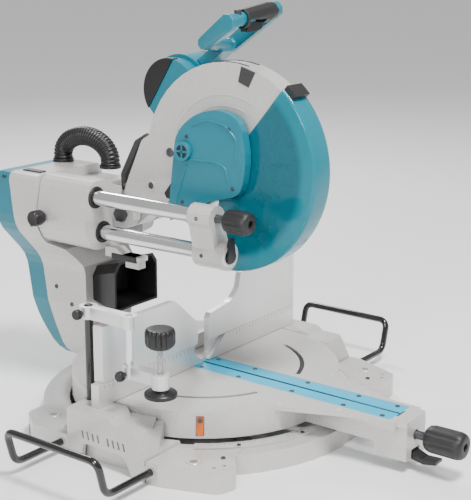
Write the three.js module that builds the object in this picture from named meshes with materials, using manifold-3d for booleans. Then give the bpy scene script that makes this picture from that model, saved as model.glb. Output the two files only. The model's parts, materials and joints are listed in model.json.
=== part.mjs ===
// Sliding compound mitre saw, 305 mm blade. Millimetres, +Z up, the operator stands at -Y.
// Pieces are drawn about the mitre pivot: the table top is z = 0, the fence face is y = 0 and
// the upright blade plane is x = 0. The exported group then stands the saw on z = 0.
import * as THREE from 'three'
import { mergeVertices } from 'three/addons/utils/BufferGeometryUtils.js'
import { ConvexGeometry } from 'three/addons/geometries/ConvexGeometry.js'
import Module from 'manifold-3d'

const wasm = await Module()
wasm.setup()

// ---------------------------------------------------------------- driving dimensions
const gap = 0.4                       // clearance between pieces that touch
const runGap = 0.5                    // radial clearance of a shaft in its bore

const mitreSwing = 60
const table = { height: 85, radius: 235, rim: 44, plate: 8, hub: 42, back: 224 }
const base = {
  hub: 55, hubTop: -50.2, ringOut: 285, ringIn: 262, lipIn: 240, ringTop: -52, lip: 6,
  wingOut: 298, wingFront: -115, wingBack: 49, wingStep: -40, wingLow: -10, wall: 8, spoke: 14,
  footTop: -50, footBack: 172,
}
const holder = { rod: 6, front: -128, back: 62, drop: -64, out: 400, lean: 15, top: -6, inner: 205 }
const fence = { half: 274, deep: 16, high: 38, leftEnd: -5, rightEnd: 10, slope: 48, front: 8 }
const upperFence = { deep: 12, left: 132, right: 141, guide: 20 }
const kerf = { half: 32, thick: 5, slot: 2.8, back: 14, front: -390 }
const extension = { front: -420, lockBack: -362, web: 30, lockDeep: -65 }
const mitreGrip = { radius: 22.5, from: -430, to: -506, drop: -28 }
const vise = { x: -248, rodY: 42, rod: 7.5, foot: -20, top: 160, lowerY: -44, screwY: -107 }
const rail = { radius: 13, upper: [-92, 290], lower: [-76, 226], front: -80, back: 366 }
const cap = { front: -109, back: -50, upper: 21, lower: 24 }
const arm = { front: 225, joint: 287, half: 64, left: -120, right: 50, high: 318, hub: 48 }
const carriage = { front: 168, back: 285, low: 196, high: 318, right: 60 }
const bladeCentre = [0, -60, 360]
const blade = { radius: 152.5, thick: 2.4, bore: 15, teeth: 60, tooth: 5 }
const pin = { bevel: 12, head: 18, boss: 20, from: 172, seat: 262, to: 272 }     // bevel pin along Y
const slideKnobAt = [268, 248]        // y and z of the slide lock's screw
const caseSize = { half: 20, wall: 4, outer: 171, inner: 161 }
const headPivot = [210, -105]         // y and z from the blade centre
const pivotPin = 9
const guard = { outer: 177, inner: 174.5, half: 24.5, wall: 2.5, hub: 30.4, rightHole: 105, from: 50,
    to: -102 }
const motor = { centre: [160, 107], radius: 62, wall: 4, from: 56, to: 112, end: 150, shaft: 7 }
const belt = { from: 38, to: 50, spindlePulley: 21, motorPulley: 15, thick: 3, coverFrom: 27, coverTo: 55 }
const centreCover = { from: -26, to: -42, wall: 3 }

// ---------------------------------------------------------------- shape helpers
const facets = 16

// A closed geometry as a solid, turned right side out.
function solid(geometry) {
  const bare = geometry.index ? geometry.toNonIndexed() : geometry.clone()
  for (const name of Object.keys(bare.attributes)) if (name !== 'position') bare.deleteAttribute(name)
  const merged = mergeVertices(bare, 1e-3)
  const points = Float32Array.from(merged.attributes.position.array)
  const corners = []
  let volume = 0
  const at = i => new THREE.Vector3().fromArray(points, 3 * i)
  for (let i = 0; i < merged.index.count; i += 3) {
    const [a, b, c] = [0, 1, 2].map(k => merged.index.array[i + k])
    if (a === b || b === c || a === c) continue
    corners.push(a, b, c)
    volume += at(a).dot(at(b).cross(at(c)))
  }
  if (volume < 0) for (let i = 0; i < corners.length; i += 3) [corners[i],
      corners[i + 1]] = [corners[i + 1], corners[i]]
  return new wasm.Manifold(new wasm.Mesh({ numProp: 3, vertProperties: points,
      triVerts: Uint32Array.from(corners) }))
}
const join = (...parts) => parts.flat().reduce((a, b) => a.add(b))
const cut = (body, ...tools) => tools.flat().reduce((a, b) => a.subtract(b), body)

// A THREE.Shape through [u, v] or [u, v, cornerRadius] points.
function outline(points, Kind = THREE.Shape) {
  const shape = new Kind()
  points.forEach(([u, v, radius = 0], i) => {
    const here = new THREE.Vector2(u, v)
    const before = new THREE.Vector2(...points[(i + points.length - 1) % points.length])
    const after = new THREE.Vector2(...points[(i + 1) % points.length])
    const r = Math.min(radius, 0.45 * here.distanceTo(before), 0.45 * here.distanceTo(after))
    const a = here.clone().add(before.sub(here).setLength(r))
    const b = here.clone().add(after.sub(here).setLength(r))
    if (i === 0) shape.moveTo(a.x, a.y)
    else shape.lineTo(a.x, a.y)
    if (r > 0) shape.quadraticCurveTo(u, v, b.x, b.y)
  })
  shape.closePath()
  return shape
}
// A sector between two radii about (u, v); angles in degrees.
function sector(rIn, rOut, from, to, u = 0, v = 0) {
  const [a, b] = [from, to].map(THREE.MathUtils.degToRad)
  const shape = new THREE.Shape()
  shape.absarc(u, v, rOut, a, b, b < a)
  if (rIn > 0) shape.absarc(u, v, rIn, b, a, b > a)
  else shape.lineTo(u, v)
  shape.closePath()
  return shape
}
function disc(r, u = 0, v = 0) {
  const shape = new THREE.Shape()
  shape.absarc(u, v, r, 0, 2 * Math.PI)
  return shape
}
const turnFor = {
  x: new THREE.Matrix4().set(0, 0, 1, 0, 1, 0, 0, 0, 0, 1, 0, 0, 0, 0, 0, 1),   // (y, z) drawn, x along
  y: new THREE.Matrix4().set(1, 0, 0, 0, 0, 0, -1, 0, 0, 1, 0, 0, 0, 0, 0, 1),  // (x, z) drawn, y along
  z: new THREE.Matrix4(),
}
// Pushes a drawn shape along an axis between two places.
function slab(axis, shape, from, to, curveSegments = 6) {
  const [low, high] = [Math.min(from, to), Math.max(from, to)]
  const geometry = new THREE.ExtrudeGeometry(shape, { depth: high - low, bevelEnabled: false,
      curveSegments: curveSegments / 2 })
  geometry.translate(0, 0, axis === 'y' ? -high : low)
  return solid(geometry.applyMatrix4(turnFor[axis]))
}
const plate = (axis, points, from, to, segments) => slab(axis, outline(points), from, to, segments)
const rod = (axis, r, from, to, u = 0, v = 0, segments = facets) => slab(axis, disc(r, u, v), from, to,
    segments)
const tube = (axis, r, rIn, from, to, u = 0, v = 0, segments = facets) => cut(
  rod(axis, r, from, to, u, v, segments), rod(axis, rIn, from - 1, to + 1, u, v, segments))
function box(x0, x1, y0, y1, z0, z1) {
  const geometry = new THREE.BoxGeometry(Math.abs(x1 - x0), Math.abs(y1 - y0), Math.abs(z1 - z0))
  return solid(geometry.translate((x0 + x1) / 2, (y0 + y1) / 2, (z0 + z1) / 2))
}
// Turns a [radius, height] profile about an axis; y runs from the profile's heights towards -Y.
function turned(profile, axis = 'z', u = 0, v = 0, segments = facets) {
  const geometry = new THREE.LatheGeometry(profile.map(p => new THREE.Vector2(...p)), segments)
  if (axis === 'z') geometry.rotateX(Math.PI / 2).translate(u, v, 0)
  if (axis === 'x') geometry.rotateZ(-Math.PI / 2).translate(0, u, v)
  if (axis === 'y') geometry.translate(u, 0, v)
  return solid(geometry)
}
const hull = points => solid(new ConvexGeometry(points.map(p => new THREE.Vector3(...p))))
// A round bar through corner points, each corner rounded to a bend radius.
function bentBar(points, r, bend, sides = 8) {
  const corners = points.map(p => new THREE.Vector3(...p))
  const path = new THREE.CurvePath()
  let start = corners[0]
  for (let i = 1; i < corners.length - 1; i++) {
    const a = corners[i].clone().add(corners[i - 1].clone().sub(corners[i]).setLength(bend))
    const b = corners[i].clone().add(corners[i + 1].clone().sub(corners[i]).setLength(bend))
    path.add(new THREE.LineCurve3(start, a))
    path.add(new THREE.QuadraticBezierCurve3(a, corners[i], b))
    start = b
  }
  path.add(new THREE.LineCurve3(start, corners.at(-1)))
  const steps = Math.ceil(path.getLength() / 26)
  const section = new THREE.Shape()
  section.absarc(0, 0, r, 0, 2 * Math.PI)
  return solid(new THREE.ExtrudeGeometry(section, { steps, extrudePath: path, curveSegments: sides / 2 }))
}
const turnedAbout = (body, axis, degrees) => body.rotate(axis.map(a => a * degrees))

// ---------------------------------------------------------------- materials
const paint = (color, roughness, metalness = 0) => new THREE.MeshStandardMaterial({ color, roughness,
    metalness })
const casting = paint('#e3e0dd', 0.45, 0.2)
const aluminium = paint('#e8e8e8', 0.35, 0.7)
const steel = paint('#c9ccd0', 0.22, 1)
const darkSteel = paint('#3a3b3d', 0.4, 0.8)
const teal = paint('#008294', 0.45)
const guardTeal = new THREE.MeshStandardMaterial({ color: '#139bb0', roughness: 0.2, transparent: true,
    opacity: 0.75 })
const black = paint('#1c1c1e', 0.55)
const rubber = paint('#2a2a2c', 0.85)
const darkGrey = paint('#4b4b4e', 0.6)
const kerfBlue = paint('#5acdf0', 0.5)
const orange = paint('#f08a24', 0.5)
const brass = paint('#c9a45a', 0.35, 0.9)
const copper = paint('#8d5a3a', 0.5, 0.6)

const group = (at, ...children) => {
  const node = new THREE.Group()
  node.position.set(...at)
  node.add(...children.flat())
  return node
}
function piece(name, body, material) {
  const mesh = body.getMesh()
  const geometry = new THREE.BufferGeometry()
  geometry.setAttribute('position', new THREE.BufferAttribute(Float32Array.from(mesh.vertProperties), 3))
  geometry.setIndex(new THREE.BufferAttribute(Uint32Array.from(mesh.triVerts), 1))
  const node = new THREE.Mesh(geometry, material)
  node.name = name
  return node
}

// ---------------------------------------------------------------- base
const ground = -table.height
const tableClear = table.radius + 3
const boss = holder.rod + 7

function baseSide(side) {
  const s = x => side * x
  const wing = plate('x', [
    [base.wingFront, ground], [base.wingBack, ground], [base.wingBack, -1], [base.wingStep, -1],
    [base.wingStep - 14, base.wingLow], [base.wingFront + 22, base.wingLow, 6], [base.wingFront,
        base.footTop, 4],
  ], s(150), s(base.wingOut))
  const pocket = cut(
    box(s(150), s(base.wingOut - base.wall), base.wingFront + base.wall, base.wingBack - base.wall,
        ground - 1,
      base.ringTop - 2),
    rod('z', tableClear + base.wall, ground - 2, 0, 0, 0, 52))
  const arch = plate('x', [
    [base.wingFront + 26, ground - 1], [base.wingBack - 30, ground - 1], [base.wingBack - 34, -54, 8],
    [base.wingFront + 42, -54, 10]], s(base.wingOut - base.wall - 1), s(base.wingOut + 1))
  const slots = []
  for (const start of [-76, -22]) {
    for (let i = 0; i < 4; i++) {
      const y = start + i * 11
      slots.push(plate('x', [[y, -46], [y + 4, -46], [y + 7, -33], [y + 3, -33]],
        s(base.wingOut - base.wall - 1), s(base.wingOut + 1)))
    }
  }
  const frontFoot = plate('z', [
    [s(base.wingOut), holder.front + 10], [s(base.wingOut), holder.front - boss], [s(264), -232, 10],
    [s(232), -242, 10], [s(200), -215, 8], [s(150), -200], [s(190), holder.front + 10]], ground,
        base.footTop)
  const rearFoot = plate('z', [
    [s(base.wingOut), 40], [s(base.wingOut), 130, 10], [s(268), base.footBack, 12], [s(214), base.footBack,
        8],
    [s(200), 40]], ground, base.footTop)
  const footPockets = [
    plate('z', [[s(285), holder.front - boss - 8], [s(258), -222], [s(234), -230], [s(212), -212],
      [s(222), holder.front - boss - 8]], ground - 1, ground + 22),
    box(s(226), s(284), 84, 160, ground - 1, ground + 22)]
  const bosses = [holder.front, holder.back].map(y =>
    rod('x', boss, Math.min(s(190), s(base.wingOut + 2)), Math.max(s(190), s(base.wingOut + 2)), y,
        holder.drop))
  const tunnels = [holder.front, holder.back].map(y =>
    rod('x', holder.rod + gap, side < 0 ? -320 : 90, side < 0 ? -90 : 320, y, holder.drop))
  const holes = [
    rod('z', 6, ground - 1, 0, s(254), -176, 12), rod('z', 3, ground - 1, 0, s(252), -214, 12),
    rod('z', 3, ground - 1, 0, s(236), -222, 12), rod('z', 6, ground - 1, 0, s(250), 128, 12)]
  const screwHole = rod('z', 5 + gap, holder.drop, 0, s(270), holder.back)
  const overRing = rod('z', base.ringIn + 3, base.ringTop, 0, 0, 0, 52)
  const feet = cut(join(cut(join(frontFoot, rearFoot), footPockets), bosses), overRing)
  const solidSide = join(cut(wing, pocket, arch, slots), feet)
  const body = side < 0 ? join(solidSide, rod('z', vise.rod + 6, vise.foot - 6, -1, vise.x,
      vise.rodY)) : solidSide
  return { body, cuts: [...tunnels, ...holes, screwHole] }
}
// Room in the wings for the table's front extension at both ends of its swing.
function mitreRelief() {
  const flange = plate('z', extensionOutline(3), -table.plate - 1.5, 5)
  const web = box(-extension.web - 3, extension.web + 3, extension.front, -150, -table.rim - 2, 5)
  const channel = box(-45, 45, extension.front, -150, -16, 5)
  return [-mitreSwing, mitreSwing].flatMap(end => [0, 8].flatMap(back => [flange, web, channel].map(
    solidPart => turnedAbout(solidPart, [0, 0, 1], end - Math.sign(end) * back))))
}
function baseCasting() {
  const { ringOut: out, ringIn, lipIn, ringTop: top, lip } = base
  const ring = cut(rod('z', out, ground, top, 0, 0, 52),
    rod('z', ringIn, ground - 1, top - lip, 0, 0, 52), rod('z', lipIn, ground - 2, top + 1, 0, 0, 52))
  const spokes = [0, 1, 2, 3, 4, 5].map(i => turnedAbout(
    box(-base.spoke / 2, base.spoke / 2, base.hub - 10, ringIn + 5, ground + 2, ground + 12), [0, 0, 1],
        30 + 60 * i))
  const hub = cut(rod('z', base.hub, ground + 9, base.hubTop, 0, 0, 32), rod('z', 8 + runGap, ground, 0))
  const sides = [-1, 1].map(baseSide)
  const body = cut(join(sides[0].body, sides[1].body), rod('z', lipIn, ground - 1, 5, 0, 0, 52),
      mitreRelief())
  return cut(join(body, ring, spokes, hub), sides[0].cuts, sides[1].cuts,
    rod('z', vise.rod + gap, vise.foot - gap, 5, vise.x, vise.rodY))
}
const scaleTop = base.ringTop + gap + 3
const scaleReach = 56
const scalePlate = () => cut(slab('z', sector(base.lipIn + 2, base.ringIn, -90 - scaleReach,
    -90 + scaleReach), base.ringTop + gap,
  scaleTop, 60))
const pivotBolt = () => join(rod('z', 8, ground + 8, -28), rod('z', 14, ground + 1, ground + 8.6, 0, 0, 6))

function fixedFence() {
  const { half, deep, high, leftEnd, rightEnd, slope } = fence
  const foot = -1 + gap
  const left = plate('y', [[-half, foot], [leftEnd, foot], [leftEnd, 2], [leftEnd - slope, high], [-half,
      high]], 0, deep)
  const right = plate('y', [[half, foot], [rightEnd, foot], [rightEnd, 2], [rightEnd + slope, high], [half,
      high]], 0, deep)
  const arms = [-150, 130].map(x => box(x, x + 20, deep - 1, 68, 2, 28))
  const lobeRoom = box(-126, 126, fence.front, deep + 1, -2, high + 1)
  const notch = box(-tableClear, tableClear, -1, deep + 1, -2, 1)
  return cut(join(left, right, arms, box(-150, 150, 55, 68, 2, 28)), notch, lobeRoom)
}
const upperFenceLow = fence.high + gap
function leftUpperFence() {
  const high = upperFence.left
  return join(
    plate('y', [[-262, upperFenceLow], [-21, upperFenceLow], [-21, 79], [-82, high, 6],
      [-188, high, 6], [-262, high]], 1, upperFence.deep),
    plate('y', [[-60, 44], [-60, 34], [-21, 4], [-21, 44]], fence.front + gap, upperFence.deep),
    box(-262, -248, 0.6, upperFence.guide, upperFenceLow, high))
}
function rightUpperFence() {
  const high = upperFence.right
  return join(
    plate('y', [[274, upperFenceLow], [10, upperFenceLow], [10, 78, 6], [16, 86],
      [77, 95, 10], [98, 113, 6], [104, high, 6], [274, high, 8]], 1, upperFence.deep),
    plate('y', [[64, 44], [64, 34], [16, 4], [10, 4], [10, 44]], fence.front + gap, upperFence.deep),
    box(262, 274, 0.6, upperFence.guide, upperFenceLow, high))
}
const fenceClamp = x => join(
  rod('y', 4, fence.deep + gap, fence.deep + 14, x, 24, 12), rod('y', 11, fence.deep + 8, fence.deep + 24,
      x, 24, 10))

function sideHolder(side) {
  const { rod: r, front, back, drop, out, lean, top, inner } = holder
  return bentBar([
    [side * inner, front, drop], [side * out, front, drop], [side * (out + lean), front, top],
    [side * (out + lean), back, top], [side * out, back, drop], [side * inner, back, drop]], r, 18)
}
const holderScrew = side => join(
  rod('z', 5, holder.drop + holder.rod + gap, -40, side * 270, holder.back, 12),
  rod('z', 11, -46, -30, side * 270, holder.back, 10))

// ---------------------------------------------------------------- vise
const viseRod = () => turned([[0, vise.foot], [vise.rod, vise.foot], [vise.rod, vise.top - 2],
  [vise.rod - 2, vise.top], [0, vise.top]], 'z', vise.x, vise.rodY)
const viseUpper = { low: 138, high: 158 }
const viseLower = { low: 56, high: 76, rod: 6 }
function viseUpperArm() {
  const { x, rodY, lowerY } = vise
  const { low, high } = viseUpper
  const body = join(box(x - 9, x + 9, lowerY, rodY, low, high), rod('z', 15, low, high, x, rodY),
    rod('z', 13, low, high, x, lowerY))
  return cut(body, rod('z', vise.rod + runGap, low - 1, high + 1, x, rodY),
    rod('z', viseLower.rod + gap, low - 1, high + 1, x, lowerY))
}
const viseLowerRod = () => rod('z', viseLower.rod, viseLower.high + gap, viseUpper.high - 4, vise.x,
    vise.lowerY)
function viseLowerArm() {
  const { x, lowerY, screwY } = vise
  const { low, high } = viseLower
  const body = join(box(x - 9, x + 9, screwY, lowerY, low, high), rod('z', 13, low, high, x, lowerY),
    rod('z', 14, low - 4, high, x, screwY))
  return cut(body, rod('z', 5 + runGap, low - 5, high + 1, x, screwY))
}
const viseScrew = () => join(
  rod('z', 5, 40, 120, vise.x, vise.screwY),
  turned([[0, 118], [15, 118], [22, 124], [24, 132], [24, 143], [19, 149], [0, 149]], 'z', vise.x,
      vise.screwY))
const visePad = () => cut(turned([[0, 38], [25, 38], [26, 40], [26, 46], [12, 49], [0, 49]], 'z', vise.x,
    vise.screwY),
  rod('z', 5 + gap, 40 - gap, 60, vise.x, vise.screwY))

// ---------------------------------------------------------------- turntable
// The front extension seen from above, grown by a margin.
const extensionOutline = by => [
  [-110 - by, -190], [-96 - by, -212], [-47 - by, -325, 20], [-33 - by, extension.front - by, 6],
  [33 + by, extension.front - by, 6], [47 + by, -325, 20], [96 + by, -212], [110 + by, -190]]
function arcSlot(side) {
  // Relief slot in the table top, a bent strip about the table's middle.
  const middle = side < 0 ? 180 + 44 : -44
  return slab('z', sector(166, 174, middle - 30, middle + 24), -table.plate - 1, 1, 24)
}
function turntable() {
  const { radius, rim, plate: top, hub, back } = table
  const skirt = tube('z', radius, radius - 9, -rim, 0, 0, 0, 52)
  const discTop = rod('z', radius, -top, 0, 0, 0, 52)
  const channel = box(-42, 42, kerf.front - 14, 60, -14, 0)
  const centre = rod('z', hub, base.hubTop + gap, -top + 1, 0, 0, 32)
  const ribs = [0, 45, 135, 180, 225, 315].map(a => turnedAbout(box(hub - 6, radius - 5, -3, 3, -32,
      -top + 1), [0, 0, 1], a))
  const flange = plate('z', extensionOutline(0), -top, 0)
  const web = cut(box(-extension.web, extension.web, extension.front, -200, -rim, -top + 1),
    box(-extension.web + 6, extension.web - 6, extension.front + 12, -150, -rim - 1, -14))
  const lock = cut(box(-extension.web, extension.web, extension.front, extension.lockBack,
      extension.lockDeep, -top + 1),
    box(-extension.web + 6, extension.web - 6, extension.front + 12, extension.lockBack + 6,
        extension.lockDeep - 1, -14))
  const rear = join(box(-60, 60, 150, back, -rim, 0), rod('y', arm.hub, 184, back, 0, 0, 40),
    plate('x', [[168, -4], [182, 34], [190, 34], [190, -4]], -12, 12))
  const body = join(cut(join(skirt, discTop), box(-radius, radius, back, radius + 5, -rim - 1, 5)),
      channel, centre,
    ribs, flange, web, lock, rear)
  const pocket = plate('z', [[-190, -150], [-206, -134], [-230, -160], [-214, -176]], -12, 5)
  const bladeSlot = box(-13, 13, kerf.front - 4, kerf.back - 4, -25, 1)
  const recess = box(-kerf.half - gap, kerf.half + gap, kerf.front - gap, kerf.back + gap,
      -kerf.thick - gap, 1)
  const pinBore = rod('y', pin.bevel + runGap, pin.from - 2, back + 1, 0, 0)
  const gripBore = rod('y', 8 + runGap, extension.front - 1, extension.front + 30, 0, mitreGrip.drop)
  const bolt = rod('z', 8 + runGap, ground, -27)
  const pointerSeat = turnedAbout(box(-7, 7, -radius - 2, -radius + 5, -40, -6), [0, 0, 1], pointerAngle)
  const leverRoom = box(-13, 13, extension.front - 1, -392, extension.lockDeep - 1, -50)
  return cut(body, arcSlot(-1), arcSlot(1), pocket.intersect(rod('z', radius - 9, -20, 6)), bladeSlot,
      recess, pinBore,
    gripBore, bolt, pointerSeat, leverRoom)
}
const pointerAngle = -54
const mitrePointer = () => turnedAbout(box(-5, 5, -table.radius + 0.2, -table.radius + 4.5, -39, -8), [0,
    0, 1], pointerAngle)
function kerfBoard(side) {
  const { half, thick, slot, back, front } = kerf
  const s = x => side * x
  return plate('y', [[s(half), -0.4], [s(slot), -0.4], [s(slot), -1.2], [s(8.6), -thick], [s(half),
      -thick]], front, back)
}
const mitreGripBody = () => turned([
  [0, mitreGrip.to], [14, mitreGrip.to], [20, mitreGrip.to + 5], [mitreGrip.radius, mitreGrip.to + 14],
  [mitreGrip.radius, mitreGrip.from - 6], [19, mitreGrip.from], [12, mitreGrip.from], [12,
      extension.front - gap],
  [8, extension.front - gap], [8, extension.front + 26], [0, extension.front + 26]], 'y', 0, mitreGrip.drop)
const mitreLever = () => plate('x', [
  [-396, -53], [-396, -62], [-440, -70], [-462, -66], [-462, -61], [-438, -62], [-414, -53]], -11, 11)

// ---------------------------------------------------------------- arm
const armSide = [
  [arm.front + gap, -arm.hub], [arm.front + gap, 150], [246, 184], [arm.joint, carriage.low - 3],
      [arm.joint, arm.high],
  [385, arm.high, 12], [399, 291, 16], [380, 170, 40], [357, 27, 30], [310, -arm.hub, 20]]
const armFront = [
  [-arm.half, 70], [-arm.half, 150, 20], [arm.left, 218, 20], [arm.left, arm.high, 14], [arm.right,
      arm.high, 14],
  [arm.half, 160, 30], [arm.half, 70]]
const spread = (points, by) => {
  const middle = points.reduce((m, [u, v]) => [m[0] + u / points.length, m[1] + v / points.length], [0, 0])
  return points.map(([u, v, r = 0]) => [u - Math.sign(u - middle[0]) * by,
      v - Math.sign(v - middle[1]) * by, r])
}
function armFrontSolid(inset, from, to) {
  const foot = []
  for (let i = 0; i <= 8; i++) {
    const a = Math.PI * (1 + 0.09) + i / 8 * Math.PI * (1 - 0.18)
    foot.push([(arm.hub - inset) * Math.cos(a), (arm.hub - inset) * Math.sin(a)])
  }
  return plate('y', [...foot, ...spread(armFront, inset).reverse()], from, to, 5)
}
const coverSplit = [
  [500, 400], [354, 400], [354, 300], [338, 170], [318, 30], [292, -80], [500, -80]]
const coverZone = (by = 0) => plate('x', coverSplit.map(([y, z]) => [y - by, z]), -200, 200)
function armCasting() {
  const outer = plate('x', armSide, arm.left, arm.half, 6).intersect(armFrontSolid(0, arm.front, 410))
  const hollowSide = [[arm.front + 10, 56], [arm.front + 10, 146], [254, 182], [296, 196], [296, 198],
      [420, 198], [420, 56]]
  const hollow = plate('x', hollowSide, -200, 200).intersect(armFrontSolid(9, arm.front, 430))
  const { upper, lower, radius } = rail
  const bores = [upper, lower].map(([x, z]) => rod('y', radius + gap, 200, rail.back + 2, x, z))
  return cut(outer, coverZone(gap / 2), hollow, bores,
    rod('y', pin.bevel + gap, 200, pin.seat, 0, 0), rod('y', pin.boss, pin.seat, 420, 0, 0),
    plate('y', [[-34, 232, 8], [34, 232, 8], [34, 300, 8], [-34, 300, 8]], arm.joint + 12, 420))
}
function armRearCover() {
  const outer = plate('x', armSide, arm.left, arm.half, 6).intersect(armFrontSolid(0, arm.front, 410))
  const inner = plate('x', armSide.map(([y, z, r = 0]) => [y - 4, z - Math.sign(z - 140) * 4, r]), -200,
      200)
    .intersect(armFrontSolid(4, arm.front - 1, 430))
  return cut(outer.intersect(coverZone(-gap / 2)), inner)
}
function dustHood() {
  const mouth = { y: 160, half: 58, low: 74, high: 164 }
  const rear = { y: arm.front - gap, half: 46, low: 84, high: 146 }
  const ends = (inset, y0, y1) => hull([[mouth, y0], [rear, y1]].flatMap(([e, y]) => [
    [-e.half + inset, y, e.low + inset], [e.half - inset, y, e.low + inset],
    [-e.half + inset + 12, y, e.high - inset], [e.half - inset - 12, y, e.high - inset],
    [-e.half + inset, y, e.high - inset - 16], [e.half - inset, y, e.high - inset - 16]]))
  return cut(ends(0, mouth.y, rear.y), ends(4, mouth.y - 2, rear.y - 6))
}
const railBody = ([x, z]) => rod('y', rail.radius, rail.front, rail.back, x, z)
function railEndCap() {
  const { upper, lower, radius } = rail
  const web = plate('y', [
    [upper[0] - 16, upper[1] - 8], [lower[0] - 20, lower[1] + 6], [lower[0] + 20, lower[1] + 6],
        [upper[0] + 18, upper[1] - 8]],
    cap.front + 13.4, cap.back)
  const rings = join(rod('y', cap.upper, -96, cap.back, ...upper), rod('y', cap.lower, cap.front, cap.back,
      ...lower))
  const bores = [upper, lower].map(([x, z]) => rod('y', radius + gap, rail.front - gap, 0, x, z))
  const grip = rod('y', 7 + runGap, cap.front - 10, 0, ...upper)
  const leverSeat = rod('y', 12, cap.front - 1, cap.front + 7, lower[0], lower[1])
  return cut(join(web, rings), bores, grip, leverSeat)
}
const bevelGrip = () => turned([
  [0, -164], [13, -164], [18, -159], [20, -150], [20, -106], [17, -99], [10, -97.5], [10, -96 - gap], [7,
      -96 - gap],
  [7, rail.front - 2 * gap], [0, rail.front - 2 * gap]], 'y', ...rail.upper)
const bevelLever = () => join(
  rod('y', 11, cap.front + 0.5, cap.front + 6.5, ...rail.lower),
  plate('y', [[-86, 226], [-66, 226], [-70, 258, 5], [-80, 258, 5]], cap.front - 6, cap.front - 0.5),
  rod('y', 11, cap.front - 6, cap.front + 1, ...rail.lower))
const bevelPin = () => join(rod('y', pin.bevel, pin.from, pin.seat + 1, 0, 0),
  rod('y', pin.head, pin.seat + gap, pin.to, 0, 0, 6))
const hoseArch = { x: 15, front: 231, back: 351, radius: 18, foot: arm.high + gap, top: 390 }
function dustHose() {
  const { x, front, back, radius, foot, top } = hoseArch
  const middle = (front + back) / 2
  const span = (back - front) / 2
  const points = [[front, foot - 20]]
  for (let i = 0; i <= 8; i++) {
    const t = Math.PI * i / 8
    points.push([middle - span * Math.cos(t), foot + (top - radius - foot) * (0.25 + 0.75 * Math.sin(t))])
  }
  points.push([back, foot - 20])
  const rise = new THREE.CatmullRomCurve3(points.map(([y, z]) => new THREE.Vector3(x, y, z)))
  const path = new THREE.ExtrudeGeometry(disc(radius), { steps: 14, extrudePath: rise, curveSegments: 5 })
  const bore = new THREE.ExtrudeGeometry(disc(radius - 4), { steps: 14, extrudePath: rise,
      curveSegments: 5 })
  const room = box(-40, 60, 180, 400, foot, 420)
  return cut(solid(path), solid(bore)).intersect(room)
}

// ---------------------------------------------------------------- carriage
const pivotAt = [bladeCentre[1] + headPivot[0], bladeCentre[2] + headPivot[1]]
const knuckle = 26
function carriageBody() {
  const { front, back, low, high, right } = carriage
  const { upper, lower, radius } = rail
  const block = plate('y', [[-121, 250, 16], [-106, high, 16], [-60, high, 16], [-40, 300, 20], [right,
      300, 16],
    [right, low + 14, 10], [-46, low, 10], [-102, low, 14], [-121, 232, 10]], front, back, 5)
  const lugs = [[-46, -26], [28, right]].map(([a, b]) => join(
    rod('x', knuckle, a, b, ...pivotAt), box(a, b, pivotAt[0], front + 6, pivotAt[1] - knuckle,
        pivotAt[1] + knuckle)))
  const knuckleRoom = join(rod('x', knuckle + 4, -26, 28, ...pivotAt), box(-26, 28, 120, 206, low - 1,
      high + 1))
  const bores = [upper, lower].map(([x, z]) => rod('y', radius + 3.2 + gap, front - 1, back + 1, x, z))
  const hollow = box(-34, right - 8, 214, back + 1, low + 22, 288)
  const railRoom = [upper, lower].map(([x, z]) => rod('y', radius + 2, 100, front, x, z))
  return cut(join(cut(block, knuckleRoom), lugs), bores, railRoom, hollow, rod('x', pivotPin + gap, -60,
      70, ...pivotAt),
    rod('x', 5 + gap, -140, -100, ...slideKnobAt))
}
const bushing = ([x, z]) => tube('y', rail.radius + 3.2, rail.radius + gap, carriage.front + 2,
    carriage.back - 2, x, z)
const headPivotPin = () => join(rod('x', pivotPin, -50, 64, ...pivotAt), rod('x', 14, -54, -46 - gap,
    ...pivotAt, 6),
  rod('x', 14, carriage.right + gap, 66, ...pivotAt, 6))
const returnSpring = () => tube('x', 14, pivotPin + 0.6, knuckleHalf + 0.6, 28 - gap, ...pivotAt)
const knuckleHalf = 21
function slideStop() {
  const bracket = plate('x', [[88, 182], [carriage.front - gap, 182], [carriage.front - gap, 199.5], [142,
      199.5],
    [128, 190], [88, 190]], -72, -50)
  return join(bracket, box(-70, -52, 92, 122, 168, 183))
}
const slideKnob = () => join(rod('x', 5, -134, -103, ...slideKnobAt, 12),
  turned([[0, -150], [11, -150], [14, -146], [14, -130], [9, -123], [0, -123]], 'x', ...slideKnobAt))

// ---------------------------------------------------------------- head, drawn about the blade centre
const arc = (r, from, to, steps, u = 0, v = 0) => Array.from({ length: steps + 1 }, (_, i) => {
  const a = THREE.MathUtils.degToRad(from + (to - from) * i / steps)
  return [u - r * Math.cos(a), v + r * Math.sin(a)]
})
const caseOutline = () => [
  ...arc(caseSize.outer, 46, 168, 16), [184, 26, 6], [226, -66, 12],
  ...arc(knuckle, 180, 290, 6, ...headPivot), [124, -73], [131, -58], [86, -6], [60, -40], [20, -56], [-30,
      -50],
  [-62, -10], [-66, 40, 20]]
const spindleBoss = 34
function bladeCase() {
  const { half, wall, inner } = caseSize
  const body = plate('x', caseOutline(), -half, half)
  const room = rod('x', inner, -half + wall, half - wall, 0, 0, 52)
  const knuckleRound = rod('x', knuckle, -knuckleHalf, knuckleHalf, ...headPivot)
  const boss = join(tube('x', 29, 24, -half - 5.4, -half + wall), rod('x', spindleBoss, half - wall,
      belt.coverFrom - gap, 0, 0))
  return cut(join(cut(body, room), knuckleRound, boss), rod('x', 24, -30, 0, 0, 0), rod('x', 10 + runGap,
      5, 40, 0, 0),
    rod('x', pivotPin + runGap, -40, 40, ...headPivot))
}
function carryGrip() {
  return cut(bentBar([[0, 170, 18], [0, 200, 32], [0, 252, -62], [0, 222, -78]], 8, 12),
    plate('x', caseOutline(), -caseSize.half - 1, caseSize.half + 1))
}
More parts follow.
